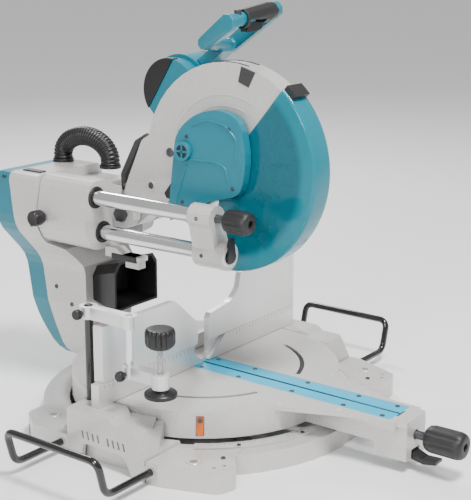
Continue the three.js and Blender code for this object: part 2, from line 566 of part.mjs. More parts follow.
function centreCoverBody() {
  const { from, to, wall } = centreCover
  const edge = by => [[-46 + by, -40 + by, 20], [-58 + by, 20, 30], [-44 + by, 84 - by, 24], [2, 98 - by,
      26], [52 - by, 84 - by, 26],
    [90 - by, 50, 20], [104 - by * 1.5, -60, 12], [104 - by * 1.5, -104 + by * 2, 6], [78, -84 + by, 20],
        [30, -62 + by, 20]]
  const shell = cut(plate('x', edge(0), to, from), plate('x', edge(wall), to + wall, from + 1))
  const bossPad = tube('x', 28, 24, to + 1, from, 0, 0)
  const roundBoss = rod('x', 17, to - 5, to + 1, 72, 21)
  return join(shell, bossPad, roundBoss)
}
const bladeDisc = () => {
  const tips = []
  for (let i = 0; i < blade.teeth; i++) {
    const a = 2 * Math.PI * i / blade.teeth
    const b = a + 2 * Math.PI / blade.teeth * 0.8
    tips.push([blade.radius * Math.cos(a), blade.radius * Math.sin(a)])
    tips.push([(blade.radius - blade.tooth) * Math.cos(b), (blade.radius - blade.tooth) * Math.sin(b)])
  }
  return cut(plate('x', tips, -blade.thick / 2, blade.thick / 2), rod('x', blade.bore + gap / 2, -5, 5, 0,
      0))
}
const spindle = () => join(
  rod('x', blade.bore - gap / 2, -blade.thick / 2 - 0.5, blade.thick / 2 + 1, 0, 0),
  rod('x', 24, blade.thick / 2 + gap, 9, 0, 0), rod('x', 10, 8, belt.to + 1, 0, 0),
  rod('x', belt.spindlePulley, belt.from, belt.to, 0, 0))
const outerFlange = () => join(rod('x', 21, -8, -blade.thick / 2 - gap - 0.5, 0, 0), rod('x', 9, -18, -7,
    0, 0, 6))
const between = (a, b, r1, r2) => {
  // Outline of a loop round two circles, drawn in y and z.
  const [dy, dz] = [b[0] - a[0], b[1] - a[1]]
  const along = Math.atan2(dz, dy)
  const swing = Math.acos((r1 - r2) / Math.hypot(dy, dz))
  const round = (c, r, from, to, steps) => Array.from({ length: steps + 1 }, (_, i) => {
    const t = from + (to - from) * i / steps
    return [c[0] + r * Math.cos(t), c[1] + r * Math.sin(t)]
  })
  return [...round(a, r1, along + swing, along + 2 * Math.PI - swing, 14), ...round(b, r2, along - swing,
      along + swing, 14)]
}
const origin = [0, 0]
const driveBelt = () => cut(
  plate('x', between(origin, motor.centre, belt.spindlePulley + gap + belt.thick,
      belt.motorPulley + gap + belt.thick),
    belt.from + 1, belt.to - 1),
  plate('x', between(origin, motor.centre, belt.spindlePulley + gap, belt.motorPulley + gap), belt.from,
      belt.to))
function beltCover() {
  const { coverFrom: from, coverTo: to } = belt
  const shell = cut(plate('x', between(origin, motor.centre, 30, 56), from, to),
    plate('x', between(origin, motor.centre, 26.6, 52), from + 4, to - 3.6))
  return cut(shell, rod('x', 14, from - 1, from + 6, 0, 0), rod('x', 12, to - 5, to + 1, ...motor.centre))
}
function motorHousing() {
  const { centre, radius, wall, from, to } = motor
  const shell = cut(rod('x', radius, from, to, ...centre, 36), rod('x', radius - wall, from + wall, to + 1,
      ...centre, 36))
  return cut(shell, rod('x', 12, from - 1, from + wall + 1, ...centre))
}
function motorEndCap() {
  const { centre, radius, to, end } = motor
  const cup = turned([[0, to + gap], [radius, to + gap], [radius, end - 22], [radius - 16, end - 3],
      [radius - 22, end],
    [0, end]], 'x', ...centre, 36)
  return cut(cup, rod('x', radius - 6, to, end - 22, ...centre, 36), rod('x', 12, end - 23, end - 12,
      ...centre))
}
const stator = () => tube('x', motor.radius - motor.wall - gap, 34, motor.from + 8, motor.to - 4,
    ...motor.centre, 36)
const rotor = () => join(rod('x', 31, motor.from + 9, motor.to - 5, ...motor.centre),
  rod('x', belt.motorPulley, belt.from, belt.to, ...motor.centre, 20),
  rod('x', motor.shaft, belt.from - 2, motor.end - 14, ...motor.centre, 16))
function lowerGuard() {
  const { outer, inner, half, wall, hub, rightHole, from, to } = guard
  const pie = (rIn, rOut, x0, x1) => slab('x', sector(rIn, rOut, 180 - from, 180 - to), x0, x1, 32)
  const left = join(pie(70, outer, -half, -half + wall), rod('x', hub + 16, -half, -half + wall, 0, 0),
    pie(hub + 4, 80, -half, -half + wall))
  const rimBand = pie(inner, outer, -half, half)
  const right = pie(rightHole, outer, half - wall, half)
  return cut(join(left, rimBand, right), rod('x', hub, -half - 1, -half + wall + 1, 0, 0))
}
const guardBumper = () => slab('x', sector(guard.outer + gap, guard.outer + 9, 180 - guard.from,
    180 - guard.from + 7),
  -20, 20)

// Handle: a closed loop whose grip runs across the saw, standing on the motor housing.
const gripPath = () => [[4, 12, 232], [128, 12, 247]]
const trigger = { from: 44, to: 88 }
function handleLoop() {
  const bar = (a, b, ra, rb) => hull([[a, ra], [b, rb]].flatMap(([[x, y, z], r]) => [0, 1, 2, 3, 4, 5, 6,
      7].flatMap(i => {
    const t = Math.PI / 4 * (i + 0.5)
    return [[x - r * 0.55, y + r * Math.cos(t), z + r * Math.sin(t)], [x + r * 0.55, y + r * Math.cos(t),
        z + r * Math.sin(t)]]
  })))
  const [a, b] = gripPath()
  const footLeft = [14, 70, 196]
  const footRight = [118, 96, 182]
  const neck = hull([[62, 76, 198], [108, 86, 194], [62, 70, 178], [108, 78, 176], [60, 140, 150], [108,
      140, 150],
    [60, 120, 140], [108, 120, 140]])
  return cut(join(bar(a, b, 12, 12), bar(a, footLeft, 15, 12), bar(b, footRight, 15, 13), bar(footLeft,
      footRight, 12, 12),
    neck),
    rod('x', motor.radius + gap, motor.from - 40, 200, ...motor.centre, 48),
    box(trigger.from - 1, trigger.to + 1, -10, 40, 200, 234.5),
    rod('z', 6 + gap, 200, 300, 26, 12))
}
function handleGrip() {
  const [a, b] = gripPath()
  const slope = (b[2] - a[2]) / (b[0] - a[0])
  const z = x => a[2] + slope * (x - a[0])
  const ringAt = (x, r) => [0, 1, 2, 3, 4, 5, 6, 7, 8, 9].map(i => {
    const t = Math.PI / 5 * i
    return [x, 12 + r * Math.cos(t), z(x) + r * Math.sin(t)]
  })
  const sleeve = hull([...ringAt(36, 17), ...ringAt(106, 17)])
  const core = hull([...ringAt(10, 13.4), ...ringAt(130, 13.4)])
  return cut(sleeve, core, box(trigger.from - 1, trigger.to + 1, -10, 40, 200, 234.5))
}
const triggerBody = () => plate('y', [[trigger.from, 214, 4], [trigger.to - 4, 217, 4], [trigger.to,
    229.5], [trigger.from, 229.5]], 5, 19)
const lockOffButton = () => rod('z', 6, 236, 251, 26, 12, 16)
const cordGland = () => turned([[0, motor.end + gap], [9, motor.end + gap], [9, motor.end + 6], [6,
    motor.end + 16],
  [0, motor.end + 16]], 'x', motor.centre[0] + 20, motor.centre[1] - 20, 16)

// ---------------------------------------------------------------- assembly
const saw = group([0, 0, 0],
  group([0, 0, 0],
    piece('base_casting', baseCasting(), casting),
    piece('scale_plate', scalePlate(), aluminium),
    piece('pivot_bolt', pivotBolt(), darkSteel),
    piece('fixed_fence', fixedFence(), aluminium),
    piece('left_fence_clamp', fenceClamp(-190), black),
    piece('right_fence_clamp', fenceClamp(190), black),
    piece('left_holder_screw', holderScrew(-1), black),
    piece('right_holder_screw', holderScrew(1), black),
    piece('left_holder', sideHolder(-1), black),
    piece('right_holder', sideHolder(1), black),
    piece('left_upper_fence', leftUpperFence(), aluminium),
    piece('right_upper_fence', rightUpperFence(), aluminium)),
  group([0, 0, 0],
    piece('vise_rod', viseRod(), black),
    piece('vise_upper_arm', viseUpperArm(), aluminium),
    piece('vise_lower_rod', viseLowerRod(), steel),
    piece('vise_lower_arm', viseLowerArm(), aluminium),
    piece('vise_screw', viseScrew(), black),
    piece('vise_pad', visePad(), black)),
  group([0, 0, 0],
    piece('turntable', turntable(), casting),
    piece('left_kerf_board', kerfBoard(-1), kerfBlue),
    piece('right_kerf_board', kerfBoard(1), kerfBlue),
    piece('mitre_pointer', mitrePointer(), orange),
    piece('mitre_grip', mitreGripBody(), black),
    piece('mitre_lever', mitreLever(), black)),
  group([0, 0, 0],
    piece('arm_casting', armCasting(), casting),
    piece('arm_rear_cover', armRearCover(), teal),
    piece('dust_hood', dustHood(), black),
    piece('upper_rail', railBody(rail.upper), steel),
    piece('lower_rail', railBody(rail.lower), steel),
    piece('rail_end_cap', railEndCap(), casting),
    piece('bevel_pivot_pin', bevelPin(), darkSteel),
    piece('dust_hose', dustHose(), black),
    piece('bevel_grip', bevelGrip(), black),
    piece('bevel_lever', bevelLever(), black)),
  group([0, 0, 0],
    piece('carriage', carriageBody(), casting),
    piece('upper_bushing', bushing(rail.upper), brass),
    piece('lower_bushing', bushing(rail.lower), brass),
    piece('head_pivot_pin', headPivotPin(), darkSteel),
    piece('return_spring', returnSpring(), darkSteel),
    piece('slide_stop', slideStop(), casting),
    piece('slide_lock_knob', slideKnob(), black)),
  group(bladeCentre,
    piece('blade_case', bladeCase(), casting),
    piece('carry_grip', carryGrip(), darkGrey),
    piece('centre_cover', centreCoverBody(), teal),
    piece('guard_bumper', guardBumper(), rubber),
    piece('belt_cover', beltCover(), teal),
    piece('drive_belt', driveBelt(), rubber),
    piece('motor_housing', motorHousing(), teal),
    piece('motor_end_cap', motorEndCap(), black),
    piece('motor_stator', stator(), copper),
    piece('handle', handleLoop(), teal),
    piece('handle_grip', handleGrip(), rubber),
    piece('cord_gland', cordGland(), black),
    piece('trigger', triggerBody(), black),
    piece('lock_off_button', lockOffButton(), darkGrey),
    piece('blade', bladeDisc(), steel),
    piece('spindle', spindle(), darkSteel),
    piece('blade_flange', outerFlange(), darkSteel),
    piece('rotor', rotor(), steel),
    piece('lower_guard', lowerGuard(), guardTeal)))

// The group's origin: ground level, midway between the grip's tip and the arm's rear.
const front = mitreGrip.to
const rear = Math.max(...armSide.map(p => p[0]))
saw.position.set(0, -(front + rear) / 2, table.height)
export default saw
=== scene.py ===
# Looks of the sliding mitre saw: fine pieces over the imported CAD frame, lights and camera.
import json
import math

import bmesh
import bpy
from mathutils import Matrix, Vector


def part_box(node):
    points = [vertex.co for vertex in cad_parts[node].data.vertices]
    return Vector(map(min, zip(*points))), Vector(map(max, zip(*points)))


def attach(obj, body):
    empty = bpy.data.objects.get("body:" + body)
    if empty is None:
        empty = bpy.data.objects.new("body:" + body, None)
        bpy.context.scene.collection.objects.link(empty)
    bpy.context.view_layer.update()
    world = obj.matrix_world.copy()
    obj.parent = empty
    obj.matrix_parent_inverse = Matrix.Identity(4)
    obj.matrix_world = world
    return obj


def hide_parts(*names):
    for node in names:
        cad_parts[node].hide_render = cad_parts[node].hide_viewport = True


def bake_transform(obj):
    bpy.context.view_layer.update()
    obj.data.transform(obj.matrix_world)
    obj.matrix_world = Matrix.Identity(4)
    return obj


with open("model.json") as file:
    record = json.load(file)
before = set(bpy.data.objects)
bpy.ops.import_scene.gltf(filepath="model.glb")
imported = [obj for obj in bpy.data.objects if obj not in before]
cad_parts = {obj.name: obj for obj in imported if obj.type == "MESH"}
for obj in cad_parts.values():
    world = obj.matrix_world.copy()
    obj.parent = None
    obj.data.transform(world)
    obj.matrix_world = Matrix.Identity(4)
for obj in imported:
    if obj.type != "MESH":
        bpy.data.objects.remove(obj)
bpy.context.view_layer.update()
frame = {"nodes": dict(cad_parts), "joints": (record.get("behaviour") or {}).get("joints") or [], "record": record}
joints = {j["name"]: j for j in frame["joints"]}
nodes = frame["nodes"]
slot_of = {s["node"]: s["material_slot"] for s in frame["record"]["subparts"]}

MM = 0.001
PIVOT = Vector(joints["mitre"]["pos_m"])        # table top, fence face, blade plane
BLADE = Vector(joints["blade_spin"]["pos_m"])   # middle of the blade
X, Y, Z = Vector((1, 0, 0)), Vector((0, 1, 0)), Vector((0, 0, 1))


# ---------------------------------------------------------------- materials
NOISE_LOW, NOISE_HIGH = 0.3, 0.7    # the part of a noise's range that is used
NOISE_ROUGHNESS = 0.55
DRIFT_SCALE = 14.0                  # broad noise that shifts a colour
RELIEF_DEPTH = 0.0004


def nodes_of(name):
    material = bpy.data.materials.new(name)
    material.use_nodes = True
    tree = material.node_tree
    shader = next(n for n in tree.nodes if n.type == "BSDF_PRINCIPLED")
    return material, tree, shader


def noise(tree, scale, detail=4.0, stretch=(1, 1, 1)):
    coordinates = tree.nodes.new("ShaderNodeTexCoord")
    mapping = tree.nodes.new("ShaderNodeMapping")
    mapping.inputs["Scale"].default_value = stretch
    texture = tree.nodes.new("ShaderNodeTexNoise")
    texture.inputs["Scale"].default_value = scale
    texture.inputs["Detail"].default_value = detail
    texture.inputs["Roughness"].default_value = NOISE_ROUGHNESS
    tree.links.new(coordinates.outputs["Object"], mapping.inputs["Vector"])
    tree.links.new(mapping.outputs["Vector"], texture.inputs["Vector"])
    return texture.outputs["Fac"]


def spread(tree, value, low, high):
    """A noise stretched over a range of values."""
    change = tree.nodes.new("ShaderNodeMapRange")
    change.inputs["From Min"].default_value = NOISE_LOW
    change.inputs["From Max"].default_value = NOISE_HIGH
    change.inputs["To Min"].default_value = low
    change.inputs["To Max"].default_value = high
    tree.links.new(value, change.inputs["Value"])
    return change.outputs["Result"]


def two_colours(tree, value, stops, interpolation="LINEAR"):
    """A change between two (position, colour) stops."""
    ramp = tree.nodes.new("ShaderNodeValToRGB")
    ramp.color_ramp.interpolation = interpolation
    for element, (position, colour) in zip(ramp.color_ramp.elements, stops):
        element.position = position
        element.color = list(colour) + [1]
    tree.links.new(value, ramp.inputs["Fac"])
    return ramp.outputs["Color"]


def emboss(tree, shader, height, strength, distance):
    bump = tree.nodes.new("ShaderNodeBump")
    bump.inputs["Strength"].default_value = strength
    bump.inputs["Distance"].default_value = distance
    tree.links.new(height, bump.inputs["Height"])
    tree.links.new(bump.outputs["Normal"], shader.inputs["Normal"])


def surface(name, colour, roughness, metallic=0.0, tone=0.05, swing=0.05, grain=700.0, relief=0.1,
            stretch=(1, 1, 1), sockets=()):
    """A finish whose colour drifts over a broad noise and whose relief and gloss follow a fine grain."""
    material, tree, shader = nodes_of(name)
    fine = noise(tree, grain, 3.0, stretch)
    darker = [c * (1 - tone) for c in colour]
    lighter = [min(1, c * (1 + tone)) for c in colour]
    base = two_colours(tree, noise(tree, DRIFT_SCALE), ((NOISE_LOW, darker), (NOISE_HIGH, lighter)))
    tree.links.new(base, shader.inputs["Base Color"])
    tree.links.new(spread(tree, fine, roughness - swing, roughness + swing), shader.inputs["Roughness"])
    emboss(tree, shader, fine, relief, RELIEF_DEPTH)
    shader.inputs["Metallic"].default_value = metallic
    for socket, value in sockets:
        shader.inputs[socket].default_value = value
    return material


def guard_plastic(name, inner, outer, edge):
    """Translucent teal, deeper on the flat side and paler past the edge radius, on the rolled rim."""
    material, tree, shader = nodes_of(name)
    coordinates = tree.nodes.new("ShaderNodeTexCoord")
    flat = tree.nodes.new("ShaderNodeVectorMath")
    flat.operation = "MULTIPLY"
    flat.inputs[1].default_value = (0, 1, 1)
    length = tree.nodes.new("ShaderNodeVectorMath")
    length.operation = "LENGTH"
    tree.links.new(coordinates.outputs["Object"], flat.inputs[0])
    tree.links.new(flat.outputs["Vector"], length.inputs[0])
    teal = two_colours(tree, length.outputs["Value"], ((edge - 0.008, inner), (edge + 0.006, outer)), "EASE")
    haze = noise(tree, 22.0)
    scuff = noise(tree, 320.0, 5.0, (1, 0.35, 1))
    mixed = tree.nodes.new("ShaderNodeMix")
    mixed.data_type = "RGBA"
    mixed.blend_type = "MULTIPLY"
    mixed.inputs["Factor"].default_value = 0.35
    tree.links.new(teal, mixed.inputs["A"])
    tree.links.new(spread(tree, haze, 0.75, 1.0), mixed.inputs["B"])
    tree.links.new(mixed.outputs["Result"], shader.inputs["Base Color"])
    tree.links.new(spread(tree, scuff, 0.13, 0.19), shader.inputs["Roughness"])
    emboss(tree, shader, scuff, 0.02, RELIEF_DEPTH / 2)
    sockets = (("Transmission Weight", 0.25), ("IOR", 1.3), ("Alpha", 0.86), ("Coat Weight", 0.35))
    for socket, value in sockets:
        shader.inputs[socket].default_value = value
    return material


TEAL, PALE_TEAL = (0.0, 0.165, 0.23), (0.005, 0.27, 0.36)
looks = {
    "casting": surface("casting", (0.56, 0.545, 0.53), 0.3, metallic=0.2, tone=0.03, grain=520, relief=0.16,
                       sockets=[("Coat Weight", 0.15), ("Coat Roughness", 0.3)]),
    "aluminium": surface("aluminium", (0.72, 0.71, 0.70), 0.36, metallic=0.55, tone=0.04, grain=260,
                         relief=0.08, stretch=(0.15, 1, 6), sockets=[("Anisotropic", 0.3)]),
    "steel": surface("steel", (0.74, 0.74, 0.75), 0.15, metallic=1.0, tone=0.03, swing=0.04, grain=420,
                     relief=0.03, stretch=(1, 0.04, 1), sockets=[("Anisotropic", 0.4)]),
    "dark_steel": surface("dark_steel", (0.11, 0.11, 0.12), 0.38, metallic=0.9, tone=0.12, grain=480,
                          relief=0.1),
    "teal": surface("teal", TEAL, 0.34, tone=0.06, grain=620, relief=0.12,
                    sockets=[("Coat Weight", 0.12), ("Coat Roughness", 0.3)]),
    "guard_teal": guard_plastic("guard_teal", TEAL, PALE_TEAL, 0.152),
    "black": surface("black", (0.008, 0.0075, 0.008), 0.38, tone=0.15, grain=640, relief=0.16),
    "rubber": surface("rubber", (0.014, 0.013, 0.014), 0.5, tone=0.18, grain=560, relief=0.3),
    "dark_grey": surface("dark_grey", (0.035, 0.033, 0.034), 0.45, tone=0.1, grain=600, relief=0.18),
    "kerf_blue": surface("kerf_blue", (0.0, 0.40, 0.62), 0.4, tone=0.05, grain=380, relief=0.1,
                         stretch=(1, 0.2, 1)),
    "orange": surface("orange", (0.8, 0.14, 0.0), 0.38, tone=0.05, grain=500, relief=0.08),
    "brass": surface("brass", (0.62, 0.42, 0.16), 0.3, metallic=1.0, tone=0.08, grain=400, relief=0.06),
    "copper": surface("copper", (0.30, 0.10, 0.04), 0.4, metallic=0.6, tone=0.2, grain=900, relief=0.5,
                      stretch=(0.1, 1, 1)),
    "black_metal": surface("black_metal", (0.005, 0.005, 0.005), 0.16, tone=0.15, grain=420, relief=0.05,
                           sockets=[("Coat Weight", 0.5), ("Coat Roughness", 0.12)]),
}


# ---------------------------------------------------------------- directions and paths
def arc(first, last, steps):
    """Angles in radians, an equal step apart, from first to last in degrees."""
    return [math.radians(first + (last - first) * i / steps) for i in range(steps + 1)]


def ahead(radius, angle, x=0.0):
    """A point about an X axis, where angle 0 is straight ahead and a quarter turn is up."""
    return Vector((x, -radius * math.cos(angle), radius * math.sin(angle)))


def spokes(count, first=0.0):
    """Directions round an X axis."""
    angles = [2 * math.pi * k / count + first for k in range(count)]
    return [(a, Vector((0, math.cos(a), math.sin(a)))) for a in angles]


def table_spoke(degree):
    """A direction in the table's plane, from straight ahead round to the right."""
    a = math.radians(-90 + degree)
    return Vector((math.cos(a), math.sin(a), 0))


def rounded(corners, bend, steps=8):
    """A path through corners, each turned over a bend of that length."""
    corners = [Vector(c) for c in corners]
    path = [corners[0]]
    for before, here, after in zip(corners, corners[1:], corners[2:]):
        a = here + (before - here).normalized() * bend
        b = here + (after - here).normalized() * bend
        for i in range(steps + 1):
            t = i / steps
            path.append(a * (1 - t) ** 2 + here * 2 * t * (1 - t) + b * t * t)
    return path + [corners[-1]]


def even(points, step):
    """The same path with its points an equal step apart."""
    points = [Vector(p) for p in points]
    out, left = [points[0]], step
    for a, b in zip(points, points[1:]):
        gone = 0.0
        while (b - a).length - gone >= left:
            gone += left
            out.append(a + (b - a).normalized() * gone)
            left = step
        left -= (b - a).length - gone
    return out + [points[-1]]


def flutes(count, depth, low, high, power=3):
    """Hollows round a knob between two heights."""
    def ripple(a, r, h):
        return r - depth * (0.5 + 0.5 * math.cos(count * a)) ** power if low < h < high else r
    return ripple


def from_box(node, point=(0.5, 0.5, 0.5), origin=PIVOT):
    """A place inside a CAD node's box, in millimetres about an origin."""
    low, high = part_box(node)
    return Vector([(l + (h - l) * t - o) / MM for l, h, t, o in zip(low, high, point, origin)])


# ---------------------------------------------------------------- shapes and pieces
SOCKET = 0.6         # share of a screw head's height that its recess goes down
HEAD_SKIRT = 0.6     # how far a screw head reaches into the face it stands on
BEVEL_ANGLE = 30


class Shape:
    """Points and faces in millimetres about the piece's origin."""

    def __init__(self):
        self.points, self.faces = [], []

    def add(self, points, faces):
        base = len(self.points)
        self.points += [Vector(p) for p in points]
        self.faces += [tuple(base + i for i in f) for f in faces]
        return self

    def turned(self, profile, centre, axis, steps=40, ripple=None):
        """A [radius, height] profile turned about an axis through centre."""
        w = Vector(axis).normalized()
        u = (Z if abs(w.z) < 0.9 else X).cross(w).normalized()
        v = w.cross(u)
        points, rings = [], []
        for r, h in profile:
            count = 1 if r < 1e-6 else steps
            rings.append(range(len(points), len(points) + count))
            for i in range(count):
                a = 2 * math.pi * i / steps
                reach = ripple(a, r, h) if ripple and count > 1 else r
                points.append(Vector(centre) + w * h + (u * math.cos(a) + v * math.sin(a)) * reach)
        faces = []
        for a, b in zip(rings, rings[1:]):
            for i in range(steps):
                j = (i + 1) % steps
                ring = [a[i % len(a)], b[i % len(b)], b[j % len(b)], a[j % len(a)]]
                face = list(dict.fromkeys(ring))
                if len(face) > 2:
                    faces.append(face)
        return self.add(points, faces)

    def swept(self, path, radius, sides=24, ripple=None):
        """A round bar along a path, closed at both ends."""
        path = [Vector(p) for p in path]
        last = len(path) - 1
        tangents = [(path[min(i + 1, last)] - path[max(i - 1, 0)]).normalized() for i in range(len(path))]
        u = tangents[0].orthogonal().normalized()
        points, faces = [], []
        run = 0.0
        for k, (p, t) in enumerate(zip(path, tangents)):
            u = (u - t * u.dot(t)).normalized()
            v = t.cross(u)
            if k:
                run += (p - path[k - 1]).length
            r = ripple(run) if ripple else radius
            for i in range(sides):
                a = 2 * math.pi * i / sides
                points.append(p + (u * math.cos(a) + v * math.sin(a)) * r)
        for k in range(last):
            for i in range(sides):
                j = (i + 1) % sides
                faces.append((k * sides + i, k * sides + j, (k + 1) * sides + j, (k + 1) * sides + i))
        faces.append(tuple(range(sides))[::-1])
        faces.append(tuple(last * sides + i for i in range(sides)))
        return self.add(points, faces)

    def block(self, centre, size, along=X, up=Z):
        """A box with its own directions."""
        a = Vector(along).normalized()
        c = Vector(up)
        c = (c - a * c.dot(a)).normalized()
        b = c.cross(a)
        corners = [Vector(centre) + a * (sx * size[0] / 2) + b * (sy * size[1] / 2) + c * (sz * size[2] / 2)
                   for sx in (-1, 1) for sy in (-1, 1) for sz in (-1, 1)]
        sides = [(0, 1, 3, 2), (4, 6, 7, 5), (0, 4, 5, 1), (2, 3, 7, 6), (0, 2, 6, 4), (1, 5, 7, 3)]
        return self.add(corners, sides)

    def plate(self, outline, near, far):
        """A flat outline of (y, z) corners with its thickness along X."""
        n = len(outline)
        ends = [tuple(range(n)), tuple(range(2 * n - 1, n - 1, -1))]
        sides = [(i, (i + 1) % n, n + (i + 1) % n, n + i) for i in range(n)]
        return self.add([(x, y, z) for x in (near, far) for y, z in outline], ends + sides)

    def screw(self, centre, axis, radius, height):
        """A round head with a domed rim and a six-sided recess."""
        recess = height * (1 - SOCKET)

        def ripple(a, r, h):
            if r > radius * 0.56:
                return r
            return r * math.cos(math.pi / 6) / math.cos(a % (math.pi / 3) - math.pi / 6)
        return self.turned([
            (0, recess), (radius * 0.5, recess), (radius * 0.52, height * 0.98), (radius * 0.6, height),
            (radius * 0.85, height), (radius * 0.96, height * 0.86), (radius, height * 0.6),
            (radius, -HEAD_SKIRT), (0, -HEAD_SKIRT)], centre, axis, 36, ripple)


def round_edges(thing, width):
    rounding = thing.modifiers.new("rounding", "BEVEL")
    rounding.width = width * MM
    rounding.segments = 3
    rounding.limit_method = "ANGLE"
    rounding.angle_limit = math.radians(BEVEL_ANGLE)
    rounding.use_clamp_overlap = True
    rounding.harden_normals = True


def piece(name, shape, look, body, origin=PIVOT, stands_for=(), smooth=32, bevel=0.0):
    mesh = bpy.data.meshes.new(name)
    mesh.from_pydata([p * MM for p in shape.points], [], shape.faces)
    made = bmesh.new()
    made.from_mesh(mesh)
    bmesh.ops.recalc_face_normals(made, faces=made.faces)
    for edge in made.edges:
        edge.smooth = len(edge.link_faces) == 2 and edge.calc_face_angle(0) < math.radians(smooth)
    for face in made.faces:
        face.smooth = True
    made.to_mesh(mesh)
    made.free()
    thing = bpy.data.objects.new(name, mesh)
    bpy.context.scene.collection.objects.link(thing)
    thing.location = origin
    mesh.materials.append(looks[look])
    if bevel:
        round_edges(thing, bevel)
    if body:
        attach(thing, body)
    if stands_for:
        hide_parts(*stands_for)
    return thing


def screws(name, look, body, origin, axis, height, places):
    """Heads on one face, each at x, y, z with its radius."""
    heads = Shape()
    for x, y, z, radius in places:
        heads.screw((x, y, z), axis, radius, height)
    piece(name, heads, look, body, origin)


# ---------------------------------------------------------------- CAD nodes that stay
ROUNDING = {
    "casting": 1.6, "aluminium": 0.8, "teal": 1.6, "black": 1.0, "kerf_blue": 0.4, "orange": 0.6,
    "rubber": 1.0, "dark_grey": 0.8,
}
MOULDED = {"handle": (1.3, 6), "handle_grip": (1.2, 8), "carry_grip": (1.0, 10)}    # voxel, smoothing steps
CREASE_ANGLE, FLAT_ANGLE = 28, 0.6

for name, node in nodes.items():
    look = slot_of[name]
    node.data.materials.clear()
    node.data.materials.append(looks[look])
    if name in MOULDED:
        voxel, steps = MOULDED[name]
        skin = node.modifiers.new("skin", "REMESH")
        skin.mode = "VOXEL"
        skin.voxel_size = voxel * MM
        skin.use_smooth_shade = True
        soft = node.modifiers.new("soft", "SMOOTH")
        soft.factor = 0.6
        soft.iterations = steps
        continue
    bpy.context.view_layer.objects.active = node
    for other in bpy.context.selected_objects:
        other.select_set(False)
    node.select_set(True)
    bpy.ops.object.shade_smooth_by_angle(angle=math.radians(CREASE_ANGLE))
    flat = node.modifiers.new("flat", "DECIMATE")
    flat.decimate_type = "DISSOLVE"
    flat.angle_limit = math.radians(FLAT_ANGLE)
    if look in ROUNDING:
        round_edges(node, ROUNDING[look])

# ---------------------------------------------------------------- lower guard
GUARD_OUT, GUARD_HALF, GUARD_WALL = 177.0, 24.5, 2.4    # rim radius, half width, wall
GUARD_HUB, GUARD_RIGHT = 34.5, 105.0                    # radii where the left and right sides start
GUARD_FROM, GUARD_TO = 50.0, -102.0                     # degrees up from straight ahead
GUARD_TURN = 6.0                                        # bend between a side and the rim
GUARD_STEP = 0.9                                        # how far the sides are set in from the rim
GUARD_RIB = {"angles": (8, -48), "radius": 118, "x": 23.9, "size": (56, 2.2, 1.0)}


def guard_section():
    """Closed section of the guard's walls and rolled rim, as (radius, x)."""
    half, turn, centre = GUARD_HALF, GUARD_TURN, GUARD_OUT - GUARD_TURN
    bend = arc(0, 90, 8)
    outer = [(GUARD_HUB, -half + GUARD_STEP), (140, -half + GUARD_STEP), (143, -half + 0.2), (146, -half)]
    outer += [(centre + turn * math.sin(a), -half + turn - turn * math.cos(a)) for a in bend]
    outer += [(r, -x) for r, x in outer[::-1] if r > GUARD_RIGHT] + [(GUARD_RIGHT, half - GUARD_STEP)]
    soft = turn - GUARD_WALL
    inner = [(GUARD_RIGHT, half - GUARD_WALL - 0.4)]
    inner += [(centre + soft * math.sin(a), half - turn + soft * math.cos(a)) for a in bend]
    inner += [(r, -x) for r, x in inner[:0:-1]]
    inner.append((GUARD_HUB, -half + GUARD_WALL + 0.1))
    return outer + inner


def guard_mesh():
    section = guard_section()
    steps, n = 96, len(section)
    points = [ahead(r, a, x) for a in arc(GUARD_FROM, GUARD_TO, steps) for r, x in section]
    faces = [(k * n + i, (k + 1) * n + i, (k + 1) * n + (i + 1) % n, k * n + (i + 1) % n)
             for k in range(steps) for i in range(n)]
    faces += [tuple(range(n)), tuple(range(steps * n, steps * n + n))]
    shape = Shape().add(points, faces)
    side = -GUARD_HALF
    hub_ring = [(30.6, side + 0.1), (45.4, side + 0.1), (45.9, side + 0.5), (45.9, side + 2.4),
                (30.6, side + 2.4), (30.6, side + 0.1)]
    shape.turned(hub_ring, (0, 0, 0), X, 64)
    for degree in GUARD_RIB["angles"]:
        out = ahead(1, math.radians(degree))
        shape.block(out * GUARD_RIB["radius"] - X * GUARD_RIB["x"], GUARD_RIB["size"], out, X)
    return shape


piece("guard_shell", guard_mesh(), "guard_teal", "guard", BLADE, ["lower_guard"])

# ---------------------------------------------------------------- blade
BLADE_RADIUS, BORE, BLADE_HALF, TEETH, GULLET = 152.4, 15.0, 1.1, 60, 8.0
TIP_RADIUS, TIP_LEAD, TIP_SIZE = 149.4, 0.7, (5.2, 1.7, 2.5)


def blade_mesh():
    pitch = 2 * math.pi / TEETH
    # share of a tooth's pitch, and how far the edge drops there
    tooth = [(0.0, 0.0), (0.10, 0.4), (0.45, 2.2), (0.62, 4.5), (0.78, GULLET), (0.90, GULLET - 0.6),
             (0.985, 4.0)]
    edge = [(BLADE_RADIUS - drop, (k + t) * pitch) for k in range(TEETH) for t, drop in tooth]
    circles = [[(radius, a) for _, a in edge] for radius in (BORE, 40.0, 96.0)] + [edge]
    points = [Vector((x, r * math.cos(a), r * math.sin(a)))
              for x in (-BLADE_HALF, BLADE_HALF) for circle in circles for r, a in circle]
    n = len(edge)
    order = [0, 1, 2, 3, 7, 6, 5, 4, 0]
    faces = [(a * n + i, a * n + (i + 1) % n, b * n + (i + 1) % n, b * n + i)
             for a, b in zip(order, order[1:]) for i in range(n)]
    return Shape().add(points, faces)


piece("saw_blade", blade_mesh(), "steel", "blade", BLADE, ["blade"])
tips = Shape()
for _, out in spokes(TEETH):
    tips.block(out * TIP_RADIUS + X.cross(out) * TIP_LEAD, TIP_SIZE, out, X.cross(out))
piece("carbide_tips", tips, "dark_steel", "blade", BLADE)

# ---------------------------------------------------------------- blade case details
CASE = -20.0                # x of the case's left face
HEAD_SCREW = 1.6            # height of the screw heads on the head
SMALL_HEAD = 3.4            # radius of the small screw heads
